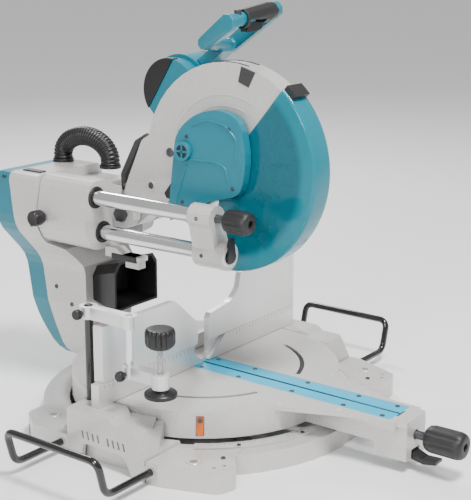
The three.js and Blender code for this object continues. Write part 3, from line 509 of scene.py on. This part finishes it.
# y, z, radius
CASE_SCREWS = ((16.7, 78.0, 7.0), (120.5, 10.3, 8.0), (163.9, -52.6, 6.0), (42.6, 56.0, 3.6))
# outline (y, z) of a thin black plate: painted shade for the dark inside of the case's lower opening, where the
# blade shows
CASE_SHADE_OUTLINE = ((97, -14), (134, -62), (129, -70), (94, -70), (66, -50), (76, -37))
CASE_RINGS = ((16.7, 78.0, 9.6), (163.9, -52.6, 9.0))
CASE_ARCS = ((118, 62, 160), (100, 66, 150))    # radius, first and last degree
CASE_LINES = (((88, 92), (150, 4)), ((80, 84), (138, 2)))
WINDOW = ((-24, 141), (-45, 133), (-58, 158), (-30, 166))
WINDOW_SCREW = (-38, 157)
ARC_BEAD, LINE_BEAD = 0.7, 0.5
TOP_RADIUS, TOP_TRIM_X, TOP_BEAD = 170.4, 14, 1.6

screws("case_screws", "dark_steel", "head", BLADE, -X, HEAD_SCREW,
       [(CASE, y, z, r) for y, z, r in CASE_SCREWS])
# painted shade: a black plate on the case face stands for the dark inside of the opening
piece("case_opening_shade", Shape().plate(CASE_SHADE_OUTLINE, CASE - 0.5, CASE + 0.3), "black", "head", BLADE)
rings = Shape()
for y, z, r in CASE_RINGS:
    rings.turned([(r - 3, -0.5), (r - 3, 0.9), (r - 2, 1.4), (r - 0.6, 1.2), (r, -0.5)], (CASE, y, z), -X, 40)
piece("case_rings", rings, "casting", "head", BLADE)
beads = Shape()
for radius, start, stop in CASE_ARCS:
    beads.swept([ahead(radius, a, CASE) for a in arc(start, stop, 40)], ARC_BEAD, 10)
for start, stop in CASE_LINES:
    beads.swept([(CASE, *start), (CASE, *stop)], LINE_BEAD, 8)
piece("case_beads", beads, "casting", "head", BLADE)
window = Shape().plate(WINDOW, CASE - 0.9, CASE + 0.3)
window.screw((CASE - 0.8, *WINDOW_SCREW), -X, 2.6, 0.7)
piece("front_window", window, "dark_grey", "head", BLADE, bevel=0.3)
trim = Shape()
for x in (-TOP_TRIM_X, TOP_TRIM_X):
    trim.swept([ahead(TOP_RADIUS, a, x) for a in arc(76, 104, 24)], TOP_BEAD, 10)
piece("case_top_trim", trim, "black", "head", BLADE)

# ---------------------------------------------------------------- centre cover details
COVER = -42.0               # x of the cover's left face
BOSS = Vector((COVER - 5, 72, 21))
BOSS_RING = ((11.2, 0.0), (11.2, 1.6), (12.4, 2.0), (15.4, 2.0), (16.6, 0.8), (16.6, -1))
BOSS_WELL = ((0, 0.5), (11, 0.5), (11.4, -0.4), (0, -0.4))
BOSS_BAR = (22.6, 3.0, 1.8)
RIB_BEND, RIB_RADIUS = 9, 1.8
COVER_SCREWS = ((-22, 66), (-30, -30), (76, -66), (66, 46))
COVER_RIBS = (((60, 8), (10, 10), (-14, 4), (-22, -20)), ((66, -2), (84, -50), (92, -84)),
              ((-34, 10), (-38, 50), (-14, 72), (22, 78), (54, 66)))

boss = Shape().turned(BOSS_RING, BOSS, -X, 48)
for bar in (Y, Z):
    boss.block(BOSS - X * 0.8, BOSS_BAR, bar, X)
piece("cover_boss", boss, "teal", "head", BLADE)
piece("boss_well", Shape().turned(BOSS_WELL, BOSS, -X, 48), "black", "head", BLADE)
screws("cover_screws", "dark_steel", "head", BLADE, -X, HEAD_SCREW,
       [(COVER, y, z, SMALL_HEAD) for y, z in COVER_SCREWS])
ribs = Shape()
for corners in COVER_RIBS:
    ribs.swept(rounded([(COVER, y, z) for y, z in corners], RIB_BEND), RIB_RADIUS, 12)
piece("cover_ribs", ribs, "teal", "head", BLADE)

# ---------------------------------------------------------------- far end of the handle's grip
GRIP_START, GRIP_END = Vector((4, 12, 232)), Vector((128, 12, 247))    # axis of the grip's bar
GRIP_CAP_AT = 101.5                                                    # along that axis
GRIP_CAP = ((0, 0), (16.2, 0), (16.1, 5), (15.2, 12), (14.2, 19), (12.8, 24), (10, 27), (6, 28.6), (0, 29))

grip_axis = (GRIP_END - GRIP_START).normalized()
grip_cap = Shape().turned(GRIP_CAP, GRIP_START + grip_axis * GRIP_CAP_AT, grip_axis, 56)
piece("grip_end", grip_cap, "rubber", "head", BLADE)

# ---------------------------------------------------------------- rails, seals and end cap
RAIL = 13.0
# outside the rail
SEAL = ((0.5, 0), (0.5, 3.6), (1.6, 4.4), (5.5, 4.4), (6.2, 3.6), (6.2, 1.6), (0.5, 1.6))
LEVER_RING = ((12.6, 0), (12.6, 1.2), (13.4, 2.0), (17, 2.0), (18.6, 0.4), (18.6, -0.6))
LEVER_RING_Y = -109
UPPER_REACH, LOWER_REACH = 20.4, 23.6    # from each rail's axis to the cap's left side

for name in ("upper_rail", "lower_rail"):
    front, back = from_box(name, (0.5, 0, 0.5)), from_box(name, (0.5, 1, 0.5))
    length = (back - front).length
    bar = Shape().turned([(0, 0), (RAIL - 1.4, 0), (RAIL - 0.2, 1.2), (RAIL - 0.02, 2),
                          (RAIL - 0.02, length - 2), (RAIL - 1.4, length), (0, length)], front, Y, 72)
    piece(name + "_bar", bar, "steel", "arm", PIVOT, [name])
seals = Shape()
for name in ("upper_bushing", "lower_bushing"):
    seals.turned([(RAIL + r, h) for r, h in SEAL], from_box(name, (0.5, 0, 0.5)), -Y, 56)
piece("rail_seals", seals, "rubber", "carriage")
upper_at, lower_at = from_box("upper_rail", (0.5, 0, 0.5)), from_box("lower_rail", (0.5, 0, 0.5))
screws("end_cap_screws", "dark_steel", "arm", PIVOT, -X, 1.2,
       [(at.x - reach, at.y + 10, at.z, SMALL_HEAD)
        for at, reach in ((upper_at, UPPER_REACH), (lower_at, LOWER_REACH))])
lever_ring = Shape().turned(LEVER_RING, (lower_at.x, LEVER_RING_Y, lower_at.z), -Y, 56)
piece("end_cap_ring", lever_ring, "aluminium", "arm")


# ---------------------------------------------------------------- barrel grips
GRIP_SHARE = 0.6                            # of the node's length, the rest is shaft
GRIP_HOLLOWS, HOLLOW_DEPTH, HOLLOW_ENDS = 8, 2.0, 6
NECK_RADIUS, MITRE_GRIP_RADIUS, BEVEL_GRIP_RADIUS = 6.8, 22.4, 19.9
INSET = 0.1                                 # keeps a piece inside its node's box


def barrel(name, node, body, radius):
    """A grip with eight long hollows and a recess in its end, on the axis of its node."""
    tip = from_box(node, (0.5, 0, 0.5))
    back = from_box(node, (0.5, 1, 0.5))
    shaft = (back - tip).length
    long = shaft * GRIP_SHARE
    profile = [(0, 7), (6, 7), (6.6, 0.6), (radius * 0.62, 0.2), (radius * 0.8, 1.6), (radius * 0.9, 4.2),
               (radius * 0.97, 9), (radius * 0.99, 13), (radius * 0.99, long * 0.5),
               (radius * 0.98, long - 12), (radius * 0.9, long - 5), (radius * 0.72, long - 1.2),
               (radius * 0.52, long), (7.6, long + 1.4), (7.6, long + 3), (0, long + 3)]
    dense = []
    for (ra, ha), (rb, hb) in zip(profile, profile[1:]):
        cuts = max(1, int(abs(hb - ha) / 4)) if ra > 8 else 1
        dense += [(ra + (rb - ra) * i / cuts, ha + (hb - ha) * i / cuts) for i in range(cuts)]
    dense.append(profile[-1])

    def ripple(a, r, h):
        if h < HOLLOW_ENDS or h > long - HOLLOW_ENDS or r < 8:
            return r
        ease = min(1, (h - HOLLOW_ENDS) / 8, (long - HOLLOW_ENDS - h) / 8)
        return r - HOLLOW_DEPTH * ease * max(0, math.cos(GRIP_HOLLOWS * a)) ** 1.5
    grip = Shape().turned(dense, tip, Y, 128, ripple)
    piece(name, grip, "rubber", body, PIVOT, [node], smooth=40)
    start, stop = long + 1, shaft - INSET
    neck = Shape().turned([(0, start), (NECK_RADIUS, start), (NECK_RADIUS, stop), (0, stop)], tip, Y, 32)
    piece(name + "_shaft", neck, "dark_steel", body)


barrel("mitre_barrel", "mitre_grip", "mitre_grip", MITRE_GRIP_RADIUS)
barrel("bevel_barrel", "bevel_grip", "bevel_grip", BEVEL_GRIP_RADIUS)


# ---------------------------------------------------------------- fluted knobs
def knob(name, node, body, centre, axis, radius, low, high, shaft=None, teeth=14):
    """A knob between two heights, and a (radius, start, stop) shaft where it has one."""
    depth = high - low
    profile = [(0, low), (radius * 0.7, low), (radius * 0.93, low + depth * 0.14),
               (radius, low + depth * 0.3), (radius, low + depth * 0.62), (radius, low + depth * 0.8),
               (radius * 0.93, high - depth * 0.05), (radius * 0.82, high), (radius * 0.5, high - 0.6),
               (0, high - 0.6)]
    hollows = flutes(teeth, radius * 0.09, low + depth * 0.06, high - depth * 0.02)
    piece(name, Shape().turned(profile, centre, axis, 112, hollows), "black", body, PIVOT, [node], smooth=40)
    if shaft:
        thick, start, stop = shaft
        bar = Shape().turned([(0, start), (thick, start), (thick, stop), (0, stop)], centre, axis, 32)
        piece(name + "_shaft", bar, "dark_steel", body)


def upright(node):
    """The foot of a node's box and its height."""
    foot = from_box(node, (0.5, 0.5, 0))
    return foot, from_box(node, (0.5, 0.5, 1)).z - foot.z


CLAMP_KNOB, LOCK_KNOB, VISE_KNOB = 10.9, 13.9, 23.8     # radii
for side in ("left", "right"):
    clamp_at = from_box(side + "_fence_clamp", (0.5, 0, 0.5))
    knob(side + "_clamp_knob", side + "_fence_clamp", "base", clamp_at, Y, CLAMP_KNOB, 8.2, 23.6,
         shaft=(4, INSET, 9))
    foot, tall = upright(side + "_holder_screw")
    knob(side + "_holder_knob", side + "_holder_screw", "base", foot, Z, CLAMP_KNOB, tall - 16, tall - INSET,
         shaft=(5, INSET, tall - 12))
lock_at = from_box("slide_lock_knob", (1, 0.5, 0.5))
reach = lock_at.x - from_box("slide_lock_knob", (0, 0.5, 0.5)).x
knob("slide_knob", "slide_lock_knob", "slide_lock_knob", lock_at, -X, LOCK_KNOB, reach - 25,
     reach - 2 * INSET, shaft=(5, 2 * INSET, reach - 12), teeth=7)

# ---------------------------------------------------------------- vise
THREAD_PITCH, THREAD_CREST, THREAD_ROOT = 2.0, 4.9, 4.2
POST_RADIUS, POST_TIP = 7.4, 5.4
VISE_PAD = ((0, 0), (23.6, 0), (25.4, 0.8), (25.9, 2.4), (25.9, 6.6), (24.6, 8), (14, 9.6), (12.4, 10.8),
            (0, 10.8))
THUMB_SCREW = ((0, -3), (3.2, -3), (3.2, 8), (7.6, 9), (8.4, 11), (8.4, 17), (7.2, 19), (0, 19))

foot, tall = upright("vise_screw")
knob("vise_knob", "vise_screw", "vise_screw", foot, Z, VISE_KNOB, tall - 31, tall - INSET, teeth=16)
turns = [(THREAD_CREST if i % 2 else THREAD_ROOT, 1 + i * THREAD_PITCH / 2)
         for i in range(int((tall - 32) / THREAD_PITCH * 2))]
thread = Shape().turned([(0, INSET)] + turns + [(0, tall - 30)], foot, Z, 32)
piece("vise_thread", thread, "steel", "vise_screw", smooth=60)
pad = Shape().turned(VISE_PAD, from_box("vise_pad", (0.5, 0.5, 0)), Z, 64)
piece("vise_foot_pad", pad, "black", "vise_screw", PIVOT, ["vise_pad"])
foot, tall = upright("vise_rod")
post = Shape().turned([(0, 0), (POST_RADIUS, 0), (POST_RADIUS, tall - 2), (POST_TIP, tall - INSET),
                       (0, tall - INSET)], foot, Z, 48)
piece("vise_post", post, "black_metal", "base", PIVOT, ["vise_rod"])
thumb_screws = Shape()
for node in ("vise_upper_arm", "vise_lower_arm"):
    end = from_box(node, (0, 1, 0.5))
    thumb_screws.turned(THUMB_SCREW, (end.x + 4, end.y - 14, end.z), -X, 60, flutes(10, 1.2, 8.5, 18))
piece("vise_thumb_screws", thumb_screws, "black", "vise_arm", smooth=40)

# ---------------------------------------------------------------- side holders
HOLDER_RADIUS, HOLDER_INSET, HOLDER_LEAN, HOLDER_BEND = 5.95, 6, 15.0, 17.5
for side, body in ((-1, "left_holder"), (1, "right_holder")):
    low, high = from_box(body, (0, 0, 0)), from_box(body, (1, 1, 1))
    tip = (low.x + HOLDER_INSET) if side < 0 else (high.x - HOLDER_INSET)
    bend = tip - side * HOLDER_LEAN
    inner = high.x if side < 0 else low.x
    front, back = low.y + HOLDER_INSET, high.y - HOLDER_INSET
    bottom, top = low.z + HOLDER_INSET, high.z - HOLDER_INSET
    path = rounded([(inner, front, bottom), (bend, front, bottom), (tip, front, top),
                    (tip, back, top), (bend, back, bottom), (inner, back, bottom)], HOLDER_BEND, 10)
    piece(body + "_bar", Shape().swept(path, HOLDER_RADIUS, 28), "black_metal", body, PIVOT, [body])

# ---------------------------------------------------------------- dust hose
HOSE, HOSE_INSET = 17.9, 18         # radius, and from its axis to the sides of the CAD hose's box
HOSE_STEP = 0.9                     # between the points along it
CORRUGATION, CORRUGATION_DEPTH = 5.2, 1.5
HOSE_RISE = 5                       # straight length at each end
CUFF = ((0.2, 0), (1.6, 0.3), (1.6, 5), (0.6, 6), (-2.5, 6), (-2.5, 0), (0.2, 0))    # outside the hose

hose_low, hose_high = from_box("dust_hose", (0.5, 0, 0)), from_box("dust_hose", (0.5, 1, 1))
hose_x = 0.5 * (hose_low.x + hose_high.x)
front_y, back_y = hose_low.y + HOSE_INSET, hose_high.y - HOSE_INSET
foot_z, top_z = hose_low.z, hose_high.z - HOSE_INSET
path = [(hose_x, (front_y + back_y) / 2 - (back_y - front_y) / 2 * math.cos(t),
         foot_z + (top_z - foot_z) * (0.25 + 0.75 * math.sin(t))) for t in arc(0, 180, 160)]
first, last = Vector(path[0]), Vector(path[-1])
path = [(first.x, first.y, foot_z + 0.3), (first.x, first.y, foot_z + HOSE_RISE)] + path[1:-1] + [
    (last.x, last.y, foot_z + HOSE_RISE), (last.x, last.y, foot_z + 0.3)]


def corrugated(run):
    return HOSE - CORRUGATION_DEPTH * (0.5 + 0.5 * math.cos(2 * math.pi * run / CORRUGATION))


hose_tube = Shape().swept(even(path, HOSE_STEP), HOSE, 40, corrugated)
hose = piece("corrugated_hose", hose_tube, "black", None, PIVOT, ["dust_hose"], smooth=70)
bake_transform(hose)
for name, end, body in (("hose_front_cuff", first, "carriage"), ("hose_rear_cuff", last, "arm")):
    cuff = Shape().turned([(HOSE + r, h) for r, h in CUFF], (end.x, end.y, foot_z + 0.1), Z, 56)
    piece(name, cuff, "black", body)

# ---------------------------------------------------------------- scales and ruler
SCALE_REACH = 52                    # degrees each way
SCALE_RADIUS, SCALE_SCREW_RADIUS = 244, 255
LONG_TICK, MIDDLE_TICK, SHORT_TICK = 9, 6.5, 4
LINE_WIDTH = 0.6
RULER_TOP, RULER_START, RULER_STEP, RULER_COUNT = 36, 40, 10, 22

scale_top = from_box("scale_plate", (0.5, 0.5, 1)).z
ticks = Shape()
for degree in range(-SCALE_REACH, SCALE_REACH + 1):
    out = table_spoke(degree)
    size = LONG_TICK if degree % 10 == 0 else MIDDLE_TICK if degree % 5 == 0 else SHORT_TICK
    ticks.block(out * (SCALE_RADIUS + size / 2) + Z * (scale_top + 0.02), (size, LINE_WIDTH, 0.16), out, Z)
piece("scale_ticks", ticks, "black", "base")
screws("scale_screws", "dark_steel", "base", PIVOT, Z, 1.4,
       [(*(table_spoke(degree) * SCALE_SCREW_RADIUS).xy, scale_top, 3.6) for degree in (-40, -14, 14, 40)])
ruler = Shape()
for side in (-1, 1):
    for i in range(1, RULER_COUNT + 1):
        x, tall = side * (RULER_START + i * RULER_STEP), 9 if i % 5 == 0 else 6
        ruler.block((x, -0.05, RULER_TOP - tall / 2), (LINE_WIDTH, 0.2, tall), X, Z)
piece("fence_ruler", ruler, "black", "base")

# ---------------------------------------------------------------- table details
BOARD_SCREW = ((0, 0.3), (1.8, 0.3), (2.2, 0.9), (3.8, 0.9), (4.2, 0.2), (4.2, -0.6), (0, -0.6))
BOARD_SCREW_X, BOARD_SCREW_Y = 24, (-372, -300, -200, -90, -10)
TABLE_SCREWS = ((44, -306), (80, -216))
SLOT_RADII, SLOT_HEIGHTS = (166.3, 173.7), (-7.9, -3.2)
SLOT_ARCS = ((194, 248), (-74, -20))    # first and last degree from +X
POINTER_RADIUS = 234.6

board_screws = Shape()
for side in (-1, 1):
    for y in BOARD_SCREW_Y:
        board_screws.turned(BOARD_SCREW, (side * BOARD_SCREW_X, y, -0.4), Z, 32)
piece("board_screws", board_screws, "dark_steel", "turntable")
screws("table_screws", "aluminium", "turntable", PIVOT, Z, 0.9,
       [(side * x, y, 0, 4.4) for side in (-1, 1) for x, y in TABLE_SCREWS])
# painted shade: black strips set just below the arc slots make them look dark inside
slot_shade = Shape()
for start, stop in SLOT_ARCS:
    steps = 32
    points = [(r * math.cos(t), r * math.sin(t), z)
              for t in arc(start, stop, steps) for r in SLOT_RADII for z in SLOT_HEIGHTS]
    end = 4 * steps
    faces = [(0, 1, 3, 2), (end, end + 2, end + 3, end + 1)]
    for k in range(0, end, 4):
        faces += [(k, k + 4, k + 5, k + 1), (k + 2, k + 3, k + 7, k + 6), (k + 1, k + 5, k + 7, k + 3),
                  (k, k + 2, k + 6, k + 4)]
    slot_shade.add(points, faces)
piece("slot_shade_strips", slot_shade, "black", "turntable")
pointer = from_box("mitre_pointer", (0.5, 0.5, 1))
out = Vector((pointer.x, pointer.y, 0)).normalized()
pointer_at = (out.x * POINTER_RADIUS, out.y * POINTER_RADIUS, pointer.z - 5)
piece("pointer_screw", Shape().screw(pointer_at, out, 4.2, 2.6), "dark_steel", "turntable")

# ---------------------------------------------------------------- base and fence bolts
FOOT_RING = ((6.2, -0.4), (6.2, 1.2), (7, 1.7), (11, 1.7), (12.2, 0.6), (12.2, -0.4))
FOOT_RINGS = ((254, -176), (250, 128))
FOOT_TOP, WING_TOP = -50, -10           # heights the bolts stand on
FOOT_BOLT, WING_BOLT, FENCE_BOLTS_X, FENCE_BOLTS_Z = (216, -204), (289, 20), (215, 258), 18
BOLT_HEAD = 4

foot_rings = Shape()
foot_bolts = Shape()
for side in (-1, 1):
    for x, y in FOOT_RINGS:
        foot_rings.turned(FOOT_RING, (side * x, y, FOOT_TOP), Z, 48)
    foot_bolts.screw((side * FOOT_BOLT[0], FOOT_BOLT[1], FOOT_TOP), Z, BOLT_HEAD, 2)
    foot_bolts.screw((side * WING_BOLT[0], WING_BOLT[1], WING_TOP), Z, BOLT_HEAD, 1.6)
piece("foot_rings", foot_rings, "casting", "base")
piece("foot_bolts", foot_bolts, "dark_steel", "base")
screws("fence_bolts", "dark_steel", "base", PIVOT, -Y, 0.4,
       [(side * x, 0.6, FENCE_BOLTS_Z, BOLT_HEAD) for side in (-1, 1) for x in FENCE_BOLTS_X])

# ---------------------------------------------------------------- arm and carriage details
ARM_SCREWS = ((-63.6, 300, 100), (-63.6, 262, 72), (-119.6, 366, 308), (-119.6, 300, 228))
LATCH_AT, LATCH_SIZE = Vector((30, 30, 1.2)), (16, 44, 2.4)             # from the arm's left top edge
STOP_COVER_AT, STOP_COVER_SIZE = Vector((0, 36, -15)), (25, 58, 11)     # from the slide stop's front top edge

screws("arm_screws", "dark_steel", "arm", PIVOT, -X, 2, [(*place, 4.2) for place in ARM_SCREWS])
arm_top = from_box("arm_casting", (0, 0.5, 1))
latch = Shape().block(arm_top + LATCH_AT, LATCH_SIZE, X, Z)
piece("arm_top_latch", latch, "black", "arm", bevel=0.8)
stop_at = from_box("slide_stop", (0.5, 0, 1))
stop_cover = Shape().block(stop_at + STOP_COVER_AT, STOP_COVER_SIZE, X, Z)
piece("stop_cover", stop_cover, "black", "carriage", bevel=1.5)

# ---------------------------------------------------------------- motor details
MOTOR = Vector((0, 160, 107))           # a point on its axis
SHROUD_RADIUS, SHROUD_FROM, SHROUD_TO = 57.4, 24.4, 40.0
VENT_RADIUS, VENTS, VENT_SIZE = 53.2, 24, (13, 3.2, 1.2)
FIN_RADIUS, FINS, FIN_SIZE = 62.3, 28, (46, 2.2, 2.4)
FIN_GAP = (10, 150)                     # no fins between these degrees

rim = [MOTOR + ahead(SHROUD_RADIUS, a) for a in arc(80, 215, 27)]
shroud = Shape().plate([(p.y, p.z) for p in rim], SHROUD_FROM, SHROUD_TO)
piece("motor_shroud", shroud, "black", "head", BLADE, bevel=1.2)
motor_end = MOTOR + X * from_box("motor_end_cap", (1, 0.5, 0.5), BLADE).x
vents = Shape()
for _, out in spokes(VENTS):
    vents.block(motor_end - X * 10 + out * VENT_RADIUS, VENT_SIZE, out * 0.6 - X, out)
piece("motor_vents", vents, "dark_grey", "head", BLADE)
screws("motor_screws", "dark_steel", "head", BLADE, X, HEAD_SCREW,
       [(*(motor_end - X * 0.2 + out * 32), SMALL_HEAD) for _, out in spokes(4, math.radians(45))])
fin_middle = MOTOR + X * (from_box("motor_housing", (0, 0.5, 0.5), BLADE).x + 28)
fins = Shape()
for angle, out in spokes(FINS, 0.1):
    if not FIN_GAP[0] < math.degrees(angle) % 360 < FIN_GAP[1]:
        fins.block(fin_middle + out * FIN_RADIUS, FIN_SIZE, X, out)
piece("motor_fins", fins, "teal", "head", BLADE, bevel=0.5)

# ---------------------------------------------------------------- stage, light and camera
WORLD_STRENGTH = 0.62
LIGHTS = (    # name, place, what it aims at, size, power
    ("key", (-0.5, -1.2, 2.9), (0, 0, 0.3), 0.8, 120),
    ("fill", (-2.6, -0.7, 1.5), (0, 0, 0.3), 0.8, 34),
    ("back", (1.6, 2.0, 2.4), (0, 0, 0.4), 1.0, 60),
)
CAMERA = {"place": (-1.571, -1.1865, 0.814), "turn": -53.2, "tilt": 14.7, "roll": 0.2, "lens": 86.4}

bpy.ops.mesh.primitive_plane_add(size=80, location=(0, 0, -0.0005))
floor = bpy.context.object
floor.name = "floor"
floor.data.materials.append(surface("floor_paint", (0.93, 0.93, 0.93), 0.7, tone=0.01, grain=60, relief=0.02))
world = bpy.data.worlds.new("studio")
bpy.context.scene.world = world
world.use_nodes = True
world.node_tree.nodes["Background"].inputs["Color"].default_value = (1.0, 1.0, 1.0, 1)
world.node_tree.nodes["Background"].inputs["Strength"].default_value = WORLD_STRENGTH
for name, place, aim, size, power in LIGHTS:
    light = bpy.data.lights.new(name, "AREA")
    light.shape = "DISK"
    light.size = size
    light.energy = power
    lamp = bpy.data.objects.new(name, light)
    bpy.context.scene.collection.objects.link(lamp)
    lamp.location = place
    lamp.rotation_euler = (Vector(aim) - Vector(place)).to_track_quat("-Z", "Y").to_euler()

turn, tilt, roll = (math.radians(CAMERA[k]) for k in ("turn", "tilt", "roll"))
# from the saw to the eye
view = Vector((math.sin(turn) * math.cos(tilt), -math.cos(turn) * math.cos(tilt), math.sin(tilt)))
level = Vector((math.cos(turn), math.sin(turn), 0))
up = view.cross(level)
right = level * math.cos(roll) + up * math.sin(roll)
above = up * math.cos(roll) - level * math.sin(roll)
lens = bpy.data.cameras.new("camera")
lens.sensor_width = 36
lens.lens = CAMERA["lens"]
lens.clip_end = 30
camera = bpy.data.objects.new("camera", lens)
bpy.context.scene.collection.objects.link(camera)
camera.matrix_world = Matrix.Translation(CAMERA["place"]) @ Matrix((right, above, view)).transposed().to_4x4()
bpy.context.scene.camera = camera
